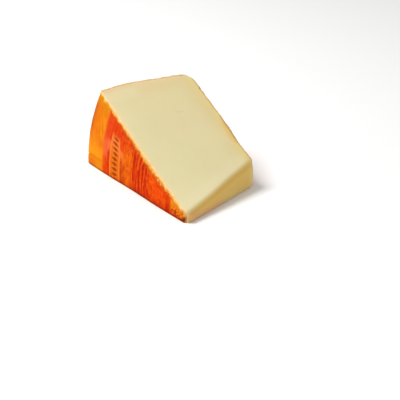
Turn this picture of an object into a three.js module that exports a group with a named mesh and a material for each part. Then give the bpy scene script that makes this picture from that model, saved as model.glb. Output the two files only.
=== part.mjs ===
// A wedge cut from a wheel of Saint-Paulin cheese, lying on one of its two long cut faces.
//
// The wheel is a low barrel: two flat faces with a bulging side between them. The wedge is a
// block of paste with a face for each side of the cut piece, so it starts as a subdivided block
// whose points are carried to the wheel: along from the tip to the side, across from the near
// flat face to the far one, and up from the resting cut to the slanted cut.
//
// Millimetres, +Z up. +X points from the wheel's side to the tip, +Y from the near flat face
// to the far one. The origin is in the middle of the footprint, on the surface it rests on.

import * as THREE from 'three';
import { mergeVertices } from 'three/addons/utils/BufferGeometryUtils.js';

// The whole wheel
const WHEEL_RADIUS = 105.3;
const WHEEL_THICKNESS = 59;
const FAR_FACE_HOLLOW = 1.45;
const HOLLOW_RADIUS = 44.5;
const HOLLOW_WIDTH = 13;

// How much the bulging side draws in at its two rims
const NEAR_DRAW_IN = 1.5;
const FAR_DRAW_IN = 2.7;

// How far the soft far face has spread at the rest
const FAR_FACE_SPREAD = 1.5;

// The cuts, measured from the wheel's axis
const WEDGE_ANGLE = THREE.MathUtils.degToRad(26.2);
const AXIS_BELOW_REST = 2.8;
const SLANT_START = -1.3;
const TIP_NEAR = 8.1;
const TIP_FAR = 30.4;

// Roundness of the edges
const NEAR_RIM_RADIUS = 2;
const FAR_RIM_RADIUS = 6.5;
const PRESSED_RIM_RADIUS = 4;
const TIP_CREASE_RADIUS = 4.5;
const TIP_FAR_RADIUS = 4;
const TIP_NEAR_RADIUS = 4;
const TIP_FOOT_RADIUS = 1.8;
const KNIFE_EDGE_RADIUS = 0.7;
const NEAR_FOOT_RADIUS = 0.9;
const FAR_FOOT_RADIUS = 5.5;

// Slow unevenness of a soft cheese: height of the waves and length from crest to crest
const SIDE_WAVE_HEIGHT = 0.4;
const CUT_WAVE_HEIGHT = 0.15;
const WAVE_LENGTH = 38;

// Steps of the block along, across and up
const STEPS_ALONG = 36;
const STEPS_ACROSS = 24;
const STEPS_UP = 14;

// Where the tip's cut starts, at a distance across from the near flat face.
function tipStart(across) {
  return TIP_NEAR + (TIP_FAR - TIP_NEAR) * (across / WHEEL_THICKNESS);
}

// Radius of the wheel's bulging side, at a distance across from the near flat face.
function sideRadius(across) {
  const acrossShare = across / WHEEL_THICKNESS;
  const fromMiddle = 2 * acrossShare - 1;
  const drawIn = THREE.MathUtils.lerp(NEAR_DRAW_IN, FAR_DRAW_IN, acrossShare);
  return WHEEL_RADIUS - drawIn * fromMiddle ** 4;
}

// Height of the slanted cut above the rest, at a distance from the wheel's axis.
function slantHeight(along) {
  return (along - SLANT_START) * Math.tan(WEDGE_ANGLE);
}

// Angle about the wheel's axis where the side of that radius meets the slanted cut.
function slantAngle(radius) {
  const axisBelowCut =
    AXIS_BELOW_REST * Math.cos(WEDGE_ANGLE) - SLANT_START * Math.sin(WEDGE_ANGLE);
  return WEDGE_ANGLE + Math.asin(axisBelowCut / radius);
}

// Sets the steps close together at both ends, where the edges are rounded.
function closerAtEnds(share) {
  return (1 - Math.cos(Math.PI * share)) / 2;
}

// The point of the sharp-edged wedge for a point of the block. Each share runs from 0 to 1.
function wedgePoint(alongShare, acrossShare, upShare) {
  const across = WHEEL_THICKNESS * closerAtEnds(acrossShare);
  const up = closerAtEnds(upShare);
  const radius = sideRadius(across);
  const restAngle = Math.asin(AXIS_BELOW_REST / radius);
  const angle = THREE.MathUtils.lerp(restAngle, slantAngle(radius), up);
  const pointOnTip = new THREE.Vector3(tipStart(across), across, 0);
  pointOnTip.z = slantHeight(pointOnTip.x) * up;
  const pointOnSide = new THREE.Vector3(
    radius * Math.cos(angle),
    across,
    radius * Math.sin(angle) - AXIS_BELOW_REST,
  );
  return pointOnTip.lerp(pointOnSide, closerAtEnds(alongShare));
}

// A flat side of the wedge: its outward direction, and how deep a point lies under it.
function flatSide(normal, pointOnSide) {
  const outward = normal.clone().normalize();
  return {
    outward: () => outward,
    depth: (point) => pointOnSide.clone().sub(point).dot(outward),
  };
}

const tipCutDirection = new THREE.Vector3(-WHEEL_THICKNESS, TIP_FAR - TIP_NEAR, 0);
const slantDirection = new THREE.Vector3(-Math.sin(WEDGE_ANGLE), 0, Math.cos(WEDGE_ANGLE));

const rest = flatSide(new THREE.Vector3(0, 0, -1), new THREE.Vector3());
const slant = flatSide(slantDirection, new THREE.Vector3(SLANT_START, 0, 0));
const nearFace = flatSide(new THREE.Vector3(0, -1, 0), new THREE.Vector3());
const farFace = flatSide(new THREE.Vector3(0, 1, 0), new THREE.Vector3(0, WHEEL_THICKNESS, 0));
const tipCut = flatSide(tipCutDirection, new THREE.Vector3(TIP_NEAR, 0, 0));

const side = {
  outward: (point) => new THREE.Vector3(point.x, 0, point.z + AXIS_BELOW_REST).normalize(),
  depth: (point) => sideRadius(point.y) - Math.hypot(point.x, point.z + AXIS_BELOW_REST),
};

const EDGES = [
  { sides: [slant, tipCut], radius: TIP_CREASE_RADIUS },
  { sides: [side, nearFace], radius: NEAR_RIM_RADIUS },
  { sides: [side, farFace], radius: FAR_RIM_RADIUS },
  { sides: [side, rest], radius: PRESSED_RIM_RADIUS },
  { sides: [tipCut, nearFace], radius: TIP_NEAR_RADIUS },
  { sides: [tipCut, farFace], radius: TIP_FAR_RADIUS },
  { sides: [slant, side], radius: KNIFE_EDGE_RADIUS },
  { sides: [slant, nearFace], radius: KNIFE_EDGE_RADIUS },
  { sides: [slant, farFace], radius: KNIFE_EDGE_RADIUS },
  { sides: [rest, nearFace], radius: NEAR_FOOT_RADIUS },
  { sides: [rest, farFace], radius: FAR_FOOT_RADIUS },
  { sides: [rest, tipCut], radius: TIP_FOOT_RADIUS },
];

// Draws a point near the edge between two sides onto the round that joins them.
function roundEdge(point, edge) {
  const [first, second] = edge.sides;
  const firstGap = edge.radius - first.depth(point);
  const secondGap = edge.radius - second.depth(point);
  const firstOut = first.outward(point);
  const secondOut = second.outward(point);
  const between = firstOut.dot(secondOut);
  const spread = 1 - between * between;
  const firstShare = (firstGap - between * secondGap) / spread;
  const secondShare = (secondGap - between * firstGap) / spread;
  if (firstShare <= 0 || secondShare <= 0) {
    return;
  }
  const fromCentre = firstOut.clone().multiplyScalar(firstShare);
  fromCentre.addScaledVector(secondOut, secondShare);
  const distance = fromCentre.length();
  if (distance > edge.radius) {
    point.addScaledVector(fromCentre, edge.radius / distance - 1);
  }
}

// Moves a point with the slow waves of the cheese, and with the hollow and spread of its far face.
function makeUneven(point) {
  const turn = (2 * Math.PI) / WAVE_LENGTH;
  const alongShare = point.x / WHEEL_RADIUS;
  const acrossShare = point.y / WHEEL_THICKNESS;
  const upShare = Math.min(1, point.z / slantHeight(point.x));
  const radius = Math.hypot(point.x, point.z + AXIS_BELOW_REST);
  const fromHollow = (radius - HOLLOW_RADIUS) / HOLLOW_WIDTH;
  const hollow = FAR_FACE_HOLLOW * Math.exp(-fromHollow * fromHollow);
  const spread = FAR_FACE_SPREAD * (1 - upShare ** 3);
  const alongWave = Math.sin(turn * (point.y + 0.6 * point.z));
  const acrossWave = Math.sin(turn * (0.8 * point.x - 0.5 * point.z));
  const upWave = Math.sin(turn * (0.7 * point.x + 0.9 * point.y));
  point.x += SIDE_WAVE_HEIGHT * alongShare * alongWave;
  point.y += CUT_WAVE_HEIGHT * acrossWave + acrossShare * (spread - hollow);
  point.z += CUT_WAVE_HEIGHT * upShare * upWave;
}

function wedgeGeometry() {
  const block = new THREE.BoxGeometry(1, 1, 1, STEPS_ALONG, STEPS_ACROSS, STEPS_UP);
  block.deleteAttribute('normal');
  block.deleteAttribute('uv');
  const geometry = mergeVertices(block);
  const positions = geometry.getAttribute('position');
  for (let i = 0; i < positions.count; i += 1) {
    const point = wedgePoint(
      0.5 - positions.getX(i),
      0.5 + positions.getY(i),
      0.5 + positions.getZ(i),
    );
    for (const edge of EDGES) {
      roundEdge(point, edge);
    }
    makeUneven(point);
    positions.setXYZ(i, -point.x, point.y, point.z);
  }
  geometry.computeBoundingBox();
  const { min, max } = geometry.boundingBox;
  geometry.translate(-(min.x + max.x) / 2, -(min.y + max.y) / 2, -min.z);
  geometry.computeVertexNormals();
  return geometry;
}

const pasteMaterial = new THREE.MeshStandardMaterial({
  name: 'cheese paste',
  color: '#e9dfb4',
  roughness: 0.5,
  metalness: 0,
});

const wedge = new THREE.Mesh(wedgeGeometry(), pasteMaterial);
wedge.name = 'cheese_wedge';

const cheese = new THREE.Group();
cheese.add(wedge);

export default cheese;
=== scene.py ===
"""A wedge cut from a wheel of Saint-Paulin cheese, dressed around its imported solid.

The wedge is one closed mesh made by Geometry Nodes: a subdivided block whose points are carried
to the wheel, rounded edge by edge and given the relief of the real piece. Each point keeps its
place in the wheel as an attribute: along from the wheel's axis to its side, across from the
printed face to the far one, and up from the rest. Paste, rind and print are drawn in those
distances.

The mesh is made in metres. The distances inside the materials are in millimetres. There, rise,
fall and band are given the two ends of a soft change: millimetres for a distance, and for noise
a part of the -0.5 to 0.5 that it runs through.

The script is laid out as an add-on: sizes and colours are properties, and each piece is made by
an operator.
"""

import math

import bpy
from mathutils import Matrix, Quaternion, Vector


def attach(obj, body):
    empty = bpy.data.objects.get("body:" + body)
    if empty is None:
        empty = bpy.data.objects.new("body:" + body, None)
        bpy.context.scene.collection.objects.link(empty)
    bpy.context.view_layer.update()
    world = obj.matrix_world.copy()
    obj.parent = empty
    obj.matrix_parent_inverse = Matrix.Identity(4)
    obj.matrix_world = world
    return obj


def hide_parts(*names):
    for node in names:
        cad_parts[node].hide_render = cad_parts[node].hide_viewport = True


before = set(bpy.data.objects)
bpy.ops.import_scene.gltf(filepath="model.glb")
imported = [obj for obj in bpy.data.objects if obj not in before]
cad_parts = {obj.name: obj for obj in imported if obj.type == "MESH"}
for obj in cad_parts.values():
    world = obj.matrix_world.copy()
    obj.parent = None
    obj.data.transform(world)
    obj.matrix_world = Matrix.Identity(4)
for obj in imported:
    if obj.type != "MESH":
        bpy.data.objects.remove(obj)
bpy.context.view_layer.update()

bl_info = {
    "name": "Cheese wedge",
    "version": (1, 0, 0),
    "blender": (4, 5, 0),
    "location": "3D View > Sidebar > Cheese",
    "description": "Makes a wedge of semi-soft cheese with its rind, print and cut faces",
    "category": "Object",
}

NODE = "cheese_wedge"
BODY = "root"
PIECE = "saint_paulin_wedge"
PLACE = "wheel_place"
MM = 0.001


def number(name, description, default, **options):
    """A number that a user may change."""
    return bpy.props.FloatProperty(name=name, description=description, default=default, **options)


def length(name, description, millimetres):
    """A length, given in millimetres."""
    return number(name, description, millimetres * MM, subtype="DISTANCE", unit="LENGTH")


def angle(name, description, degrees):
    """An angle, given in degrees."""
    return number(name, description, math.radians(degrees), subtype="ANGLE", unit="ROTATION")


def steps(name, description, default):
    """A number of steps."""
    return bpy.props.IntProperty(name=name, description=description, default=default, min=1)


def colour(name, description, default):
    """A colour of a surface, as linear red, green and blue."""
    return bpy.props.FloatVectorProperty(
        name=name, description=description, default=default, size=3, min=0, max=1, subtype="COLOR"
    )


class WedgeSizes(bpy.types.PropertyGroup):
    """Sizes of the wheel, of the cuts that free the wedge, and of its edges, waves and relief."""

    wheel_radius: length("Wheel Radius", "Radius of the wheel where its side bulges most", 105.3)
    wheel_thickness: length("Wheel Thickness", "Distance between the wheel's flat faces", 59.0)
    near_draw_in: length("Near Draw In", "How much the side draws in at the printed rim", 1.5)
    far_draw_in: length("Far Draw In", "How much the side draws in at the far rim", 2.7)
    axis_below_rest: length("Axis Below Rest", "Distance of the wheel's axis below the rest", 2.8)
    wedge_angle: angle("Wedge Angle", "Angle between the two long cuts", 26.2)
    slant_start: length("Slant Start", "Where the slanted cut meets the rest, from the axis", -1.3)
    tip_near: length("Tip Near", "Where the tip's cut starts on the printed side", 8.1)
    tip_far: length("Tip Far", "Where the tip's cut starts on the far side", 30.4)
    near_rim: length("Near Rim", "Roundness of the rim on the printed side", 2.0)
    far_rim: length("Far Rim", "Roundness of the rim on the far side", 6.5)
    pressed_rim: length("Pressed Rim", "Roundness of the side's lower edge, pressed by weight", 4.0)
    tip_crease: length("Tip Crease", "Roundness of the edge above the tip's cut", 4.5)
    tip_far_edge: length("Tip Far Edge", "Roundness of the tip's far upright edge", 4.0)
    tip_near_edge: length("Tip Near Edge", "Roundness of the tip's near upright edge", 4.0)
    knife_edge: length("Knife Edge", "Roundness of the edges of the slanted cut", 0.7)
    near_foot: length("Near Foot", "Roundness of the printed face's lower edge", 0.9)
    far_foot: length("Far Foot", "Roundness of the far face's lower edge", 5.5)
    tip_foot: length("Tip Foot", "Roundness of the lower edge of the tip's cut", 1.8)
    far_face_hollow: length("Far Face Hollow", "Depth of the far face's ring-shaped hollow", 1.45)
    hollow_radius: length("Hollow Radius", "Distance of that hollow from the wheel's axis", 44.5)
    hollow_width: length("Hollow Width", "Half width of that hollow", 13.0)
    far_face_spread: length("Far Face Spread", "How far the far face has spread at the rest", 1.5)
    side_wave_height: length("Side Wave Height", "Height of the slow waves of the side", 0.4)
    cut_wave_height: length("Cut Wave Height", "Height of the slow waves of the cuts", 0.15)
    wave_length: length("Wave Length", "Distance between two crests of those waves", 38.0)
    ripple_height: length("Ripple Height", "Height of the small ripples of the cut paste", 0.09)
    ripple_length: length("Ripple Length", "Size of those ripples", 7.0)
    wrinkle_height: length("Wrinkle Height", "Height of the small wrinkles of the rind", 0.14)
    wrinkle_length: length("Wrinkle Length", "Size of those wrinkles", 4.2)
    crumb_height: length("Crumb Height", "Height of the crumbs along the edges of the cuts", 0.45)
    crumb_length: length("Crumb Length", "Size of those crumbs", 3.2)
    fold_depth: length("Fold Depth", "Depth of the fold across the rim near the rest", 0.35)
    fold_width: length("Fold Width", "Half width of that fold", 0.55)
    fold_height: length("Fold Height", "Height of that fold above the rest", 6.3)
    fold_sag: length("Fold Sag", "How far that fold wanders up and down", 1.6)
    fold_length: length("Fold Length", "Distance over which it wanders", 9.0)


class WedgeMesh(bpy.types.PropertyGroup):
    """How finely the wedge is divided."""

    steps_along: steps("Steps Along", "Steps from the tip to the side", 176)
    steps_across: steps("Steps Across", "Steps from the printed face to the far one", 112)
    steps_up: steps("Steps Up", "Steps from the rest to the slanted cut", 80)
    closeness: number(
        "Closeness", "How much closer the steps are at the edges", 0.45, min=0, max=1, subtype="FACTOR"
    )


class PrintSizes(bpy.types.PropertyGroup):
    """Sizes of the round print, measured from its own middle."""

    middle_along: length("Middle Along", "Middle of the print, along from the wheel's axis", 2.0)
    middle_up: length("Middle Up", "Middle of the print, up from the rest", 4.9)
    outline: length("Outline", "Radius of the print, where the bare rind starts", 83.8)
    worn_middle: length("Worn Middle", "Radius of the worn middle", 21.0)
    streak_gap: length("Streak Gap", "Distance between two brush streaks", 2.9)
    panel: length("Panel", "Radius of the middle line of the pale panel", 73.7)
    panel_edge: length("Panel Edge", "Radius of the panel's outer edge", 78.8)
    panel_end: angle("Panel End", "How far round the print the panel reaches", 17.19)
    bead_row: length("Bead Row", "Radius of the row of beads on the panel", 73.4)
    bead_gap: length("Bead Gap", "Distance between two beads", 2.9)


class CheeseLook(bpy.types.PropertyGroup):
    """Colours of the paste, the rind and the print."""

    paste_core: colour("Paste Core", "Fresh paste in the middle of the wheel", (0.73, 0.65, 0.375))
    paste_ripe: colour("Paste Ripe", "Riper paste near the rind", (0.72, 0.59, 0.305))
    # Painted shade and warm bounce light: the tip's cut is coloured darker and warmer than the paste
    paste_dry: colour("Paste Tip Shade", "Paste that has dried on the tip's cut", (0.70, 0.452, 0.097))
    # Painted warm bounce light and shade low on the tip's cut, pinker on its near half and greener on
    # its far half
    paste_skin: colour("Paste Low Bounce", "Pinker paste low on the tip's cut", (0.675, 0.378, 0.136))
    paste_grey: colour("Paste Grey", "Greener paste low on the tip's far half", (0.68, 0.485, 0.155))
    paste_crust: colour("Paste Crust", "Brown of the tip's far edge", (0.60, 0.32, 0.075))
    paste_pit: colour("Paste Pit", "Inside of the small openings", (0.55, 0.42, 0.2))
    paste_edge: colour("Paste Edge", "Paste lit through by the rind beside it", (0.92, 0.55, 0.17))
    # Yellower paste, and painted shade of the rounded far edge
    paste_rim: colour("Paste Rim", "Yellower paste along the far edge", (0.74, 0.60, 0.235))
    paste_side: colour("Paste Side", "Pinker paste just under the side", (0.74, 0.585, 0.335))
    # Pale paste, also laid as a painted highlight before the crease and on the tip's near upright edge
    paste_pale: colour("Paste Pale", "Palest paste, just before the tip's cut", (0.77, 0.69, 0.435))
    rind_light: colour("Rind Light", "Golden orange of the rind", (0.83, 0.285, 0.006))
    rind_deep: colour("Rind Deep", "Deep orange of the rind", (0.77, 0.15, 0.002))
    rind_old: colour("Rind Old", "Ochre of the rind where it has dried", (0.68, 0.235, 0.002))
    rind_edge: colour("Rind Edge", "Yellow of the rind that is cut open", (0.84, 0.38, 0.075))
    # Brown of the knife's cut, also laid as painted shade in the fold's crease
    rind_torn: colour("Rind Torn", "Brown of the rind along the knife's cut", (0.57, 0.125, 0.004))
    rind_gold: colour("Rind Gold", "Brightest gold, above the fold", (0.95, 0.33, 0.003))
    # Painted shade along the upper printed rim
    rind_brown: colour("Rind Brown", "Red brown of the printed rim", (0.43, 0.105, 0.018))
    rind_line: colour("Rind Line", "Ochre line along the far cuts", (0.50, 0.31, 0.09))
    rind_yellow: colour("Rind Yellow", "Yellow of the rind's upper corner", (0.80, 0.50, 0.03))
    rind_olive: colour("Rind Olive", "Olive gold of the rim along the cut", (0.60, 0.26, 0.004))
    rind_smudge: colour("Rind Smudge", "Brown smudges on the rind", (0.38, 0.14, 0.02))
    print_bright: colour("Print Bright", "Brightest red of the print", (0.86, 0.072, 0.001))
    print_red: colour("Print Red", "Plain red of the print", (0.73, 0.047, 0.001))
    print_deep: colour("Print Deep", "Crimson of the brush streaks", (0.40, 0.010, 0.0005))
    # Painted contact shadow along the rest, as well as grease
    print_dark: colour("Print Dark", "Dark grease at the foot and the tip", (0.22, 0.014, 0.002))
    print_orange: colour("Print Orange", "Orange of the print", (0.80, 0.125, 0.001))
    print_gold: colour("Print Gold", "Lightest orange, where the brush was dry", (0.84, 0.25, 0.006))
    print_brown: colour("Print Brown", "Brown orange beside the panel", (0.56, 0.070, 0.001))
    print_rose: colour("Print Rose", "Rose ring just inside the outline", (0.86, 0.135, 0.045))
    print_panel: colour("Print Panel", "Pale panel of the ring", (0.76, 0.168, 0.004))
    print_border: colour("Print Border", "Light border lines of the panel", (0.88, 0.215, 0.042))
    print_mark: colour("Print Mark", "Dark beads on the panel", (0.27, 0.040, 0.002))


class StageSettings(bpy.types.PropertyGroup):
    """The camera, the lights and the floor."""

    azimuth: angle("Azimuth", "Direction of the camera round the wedge", 53.354)
    elevation: angle("Elevation", "Height of the camera above the horizon", 23.807)
    roll: angle("Roll", "Turn of the camera about its view", 2.44)
    distance: length("Distance", "Distance of the camera from where it aims", 728.15)
    aim: bpy.props.FloatVectorProperty(
        name="Aim",
        description="Where the camera aims",
        default=(0.01698, 0.00155, -0.0055),
        subtype="TRANSLATION",
    )
    lens: number("Lens", "Focal length in millimetres", 123.47, unit="CAMERA")
    key_power: number("Key Power", "Main soft light, in watts", 7.2, unit="POWER")
    fill_power: number("Fill Power", "Soft fill light, in watts", 1.6, unit="POWER")
    sky: number("Sky", "Even light of the white studio", 0.42)
    floor: colour("Floor", "Colour of the plain floor", (0.97, 0.97, 0.965))
    floor_reach: length("Floor Reach", "Distance from the floor's middle to its sides", 3000.0)


SCENE_SETTINGS = {
    "wedge_sizes": WedgeSizes,
    "wedge_mesh": WedgeMesh,
    "print_sizes": PrintSizes,
    "cheese_look": CheeseLook,
    "cheese_stage": StageSettings,
}


def own_properties(group):
    """The properties that this script gives a group, without those that every group has."""
    return [rna for rna in group.bl_rna.properties if rna.identifier not in ("rna_type", "name")]


# Values and vectors that vary over the surface


class Varying:
    """What varies over the surface: the output socket of a node, and the maker of its tree."""

    def __init__(self, maker, socket):
        self.maker = maker
        self.socket = socket

    def math_node(self, kind, operation, others):
        """A new node of that kind, which works on this and the others."""
        node = self.maker.node(kind, operation=operation)
        for socket, value in zip(node.inputs, (self, *others)):
            self.maker.feed(socket, value)
        return node


class Field(Varying):
    """A value that varies over the surface. Its arithmetic adds Math nodes to its tree."""

    def math(self, operation, *others):
        """What a Math node makes of this value and the others."""
        node = self.math_node("ShaderNodeMath", operation, others)
        return Field(self.maker, node.outputs[0])

    def __add__(self, other):
        return self.math("ADD", other)

    def __sub__(self, other):
        return self.math("SUBTRACT", other)

    def __rsub__(self, other):
        return (-self).math("ADD", other)

    def __mul__(self, other):
        return self.math("MULTIPLY", other)

    def __truediv__(self, other):
        return self.math("DIVIDE", other)

    def __rtruediv__(self, other):
        return self.math("POWER", -1.0) * other

    def __neg__(self):
        return self.math("MULTIPLY", -1.0)

    def __pow__(self, other):
        return self.math("POWER", other)

    def __abs__(self):
        return self.math("ABSOLUTE")

    __radd__ = __add__
    __rmul__ = __mul__

    def sine(self):
        return self.math("SINE")

    def cosine(self):
        return self.math("COSINE")

    def at_least(self, limit):
        return self.math("MAXIMUM", limit)

    def at_most(self, limit):
        return self.math("MINIMUM", limit)

    def above(self, limit):
        """1 where the value is above the limit and 0 elsewhere."""
        return self.math("GREATER_THAN", limit)

    def below(self, limit):
        """1 where the value is below the limit and 0 elsewhere."""
        return self.math("LESS_THAN", limit)

    def bell(self):
        """1 where the value is 0, and less the farther the value is from 0."""
        return (-(self * self)).math("EXPONENT")

    def rise(self, low, high):
        """0 below low and 1 above high, with a soft change between them."""
        ends = {"Value": self, "From Min": low, "From Max": high}
        socket = self.maker.out("ShaderNodeMapRange", ends, interpolation_type="SMOOTHSTEP")
        return Field(self.maker, socket)

    def fall(self, low, high):
        """1 below low and 0 above high, with a soft change between them."""
        return 1.0 - self.rise(low, high)

    def band(self, start, end):
        """1 between start and end, each given as the two ends of a soft change."""
        return self.rise(*start) * self.fall(*end)


class Arrow(Varying):
    """A vector that varies over the surface. Its arithmetic adds Vector Math nodes to its tree."""

    def math(self, operation, *others, scale=None):
        """What a Vector Math node makes of this vector and the others."""
        node = self.math_node("ShaderNodeVectorMath", operation, others)
        if scale is not None:
            self.maker.feed(node.inputs["Scale"], scale)
        if operation in ("DOT_PRODUCT", "LENGTH"):
            return Field(self.maker, node.outputs["Value"])
        return Arrow(self.maker, node.outputs["Vector"])

    def __add__(self, other):
        return self.math("ADD", other)

    def __mul__(self, factor):
        return self.math("SCALE", scale=factor)

    def dot(self, other):
        return self.math("DOT_PRODUCT", other)

    def length(self):
        return self.math("LENGTH")

    def unit(self):
        return self.math("NORMALIZE")

    def parts(self):
        """Its three values."""
        node = self.maker.node("ShaderNodeSeparateXYZ", {"Vector": self})
        return [Field(self.maker, out) for out in node.outputs]


class Maker:
    """Adds nodes to one tree and wires what they are given."""

    def __init__(self, tree):
        self.tree = tree

    def node(self, kind, inputs=None, **settings):
        """A new node with its settings and its inputs."""
        node = self.tree.nodes.new(kind)
        for name, value in settings.items():
            setattr(node, name, value)
        for name, value in (inputs or {}).items():
            self.feed(node.inputs[name], value)
        return node

    def out(self, kind, inputs=None, **settings):
        """The first output of a new node."""
        return self.node(kind, inputs, **settings).outputs[0]

    def placed(self, group, inputs):
        """The outputs of a node group, placed in this tree and given its inputs."""
        kind = self.tree.bl_idname.replace("Tree", "Group")
        return self.node(kind, inputs, node_tree=group.tree).outputs

    def feed(self, socket, value):
        """Wires a value into a socket, or sets the socket to it."""
        if isinstance(value, Varying):
            self.tree.links.new(value.socket, socket)
        elif isinstance(value, bpy.types.NodeSocket):
            self.tree.links.new(value, socket)
        elif socket.type == "RGBA" and len(value) == 3:
            socket.default_value = (*value, 1.0)
        else:
            socket.default_value = value

    def arrow(self, x, y, z):
        """A vector of three values."""
        return Arrow(self, self.out("ShaderNodeCombineXYZ", {"X": x, "Y": y, "Z": z}))

    def noise(self, place, size, detail=2.0, roughness=0.5, distortion=0.0):
        """Soft noise about 0, from -0.5 to 0.5, whose lumps are about size across."""
        inputs = {
            "Vector": place,
            "Scale": 1 / size,
            "Detail": detail,
            "Roughness": roughness,
            "Distortion": distortion,
        }
        return Field(self, self.out("ShaderNodeTexNoise", inputs)) - 0.5

    def mix(self, mask, first, second):
        """The first colour where the mask is 0 and the second where it is 1."""
        node = self.node("ShaderNodeMix", data_type="RGBA")
        first_colour, second_colour, mixed = node.inputs[6], node.inputs[7], node.outputs[2]
        self.feed(node.inputs["Factor"], mask)
        self.feed(first_colour, first)
        self.feed(second_colour, second)
        return mixed


class Group(Maker):
    """A node group with named inputs and outputs, and the maker of its tree."""

    def __init__(self, name, kind, inputs, outputs):
        super().__init__(bpy.data.node_groups.new(name, kind))
        self.open_sockets("INPUT", inputs)
        self.open_sockets("OUTPUT", outputs)
        self.entry = self.node("NodeGroupInput")
        self.leave = self.node("NodeGroupOutput")

    def open_sockets(self, way, kinds):
        """Gives the group its sockets, each a label and the kind of what it carries."""
        for label, kind in kinds.items():
            self.tree.interface.new_socket(
                name=label, in_out=way, socket_type=f"NodeSocket{kind}"
            )

    def given(self, label):
        """What the group is given under that label."""
        return self.entry.outputs[label]

    def value(self, label):
        """The value that the group is given under that label."""
        return Field(self, self.given(label))

    def vector(self, label):
        """The vector that the group is given under that label."""
        return Arrow(self, self.given(label))

    def give(self, outputs):
        """Wires what the group puts out, and gives the group."""
        for label, value in outputs.items():
            self.feed(self.leave.inputs[label], value)
        return self


# The wedge's shape

# A face whose place in the block is farther out than this is at the block's end
BLOCK_END = 0.4999

# The pairs of sides that meet in an edge, and the roundness of that edge
EDGES = (
    ("slant", "tip", "Tip Crease"),
    ("side", "near", "Near Rim"),
    ("side", "far", "Far Rim"),
    ("side", "rest", "Pressed Rim"),
    ("tip", "near", "Tip Near Edge"),
    ("tip", "far", "Tip Far Edge"),
    ("slant", "side", "Knife Edge"),
    ("slant", "near", "Knife Edge"),
    ("slant", "far", "Knife Edge"),
    ("rest", "near", "Near Foot"),
    ("rest", "far", "Far Foot"),
    ("rest", "tip", "Tip Foot"),
)

# The knife has drawn the ripples out along its way: distances along count only this much
RIPPLE_ALONG = 0.45

# Each of the pairs that follow is the two ends of a soft change

# The depth at which the wrinkles of the rind give way to the ripples of the paste
RIND_TO_PASTE = (0.3 * MM, 1.2 * MM)

# The distance from an edge at which its crumbs end
CRUMBS_END = (0.6 * MM, 2.2 * MM)

# The fold starts at a distance from the wheel's axis, and ends at a distance across
FOLD_START = (84.0 * MM, 90.0 * MM)
FOLD_END = (6.0 * MM, 14.0 * MM)

# The height at which the relief starts, so that the wedge stands flat
RELIEF_START = (0.2 * MM, 2.5 * MM)


def round_edge_group():
    """Draws the points near the edge of two sides onto the round that joins them."""
    group = Group(
        "Round Edge",
        "GeometryNodeTree",
        {
            "Geometry": "Geometry",
            "First Outward": "Vector",
            "First Depth": "Float",
            "Second Outward": "Vector",
            "Second Depth": "Float",
            "Radius": "Float",
        },
        {"Geometry": "Geometry"},
    )
    radius = group.value("Radius")
    first_out = group.vector("First Outward")
    second_out = group.vector("Second Outward")
    first_gap = radius - group.value("First Depth")
    second_gap = radius - group.value("Second Depth")
    between = first_out.dot(second_out)
    spread = 1.0 - between * between
    first_share = (first_gap - between * second_gap) / spread
    second_share = (second_gap - between * first_gap) / spread
    from_centre = first_out * first_share + second_out * second_share
    draw_in = (radius / from_centre.length() - 1.0).at_most(0.0)
    in_corner = first_share.above(0.0) * second_share.above(0.0)
    inputs = {
        "Geometry": group.given("Geometry"),
        "Selection": in_corner,
        "Offset": from_centre * draw_in,
    }
    return group.give({"Geometry": group.out("GeometryNodeSetPosition", inputs)})


def socket_kind(value):
    """The kind of socket that takes a value."""
    if isinstance(value, bpy.types.Material):
        return "Material"
    return "Int" if isinstance(value, int) else "Float"


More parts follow.
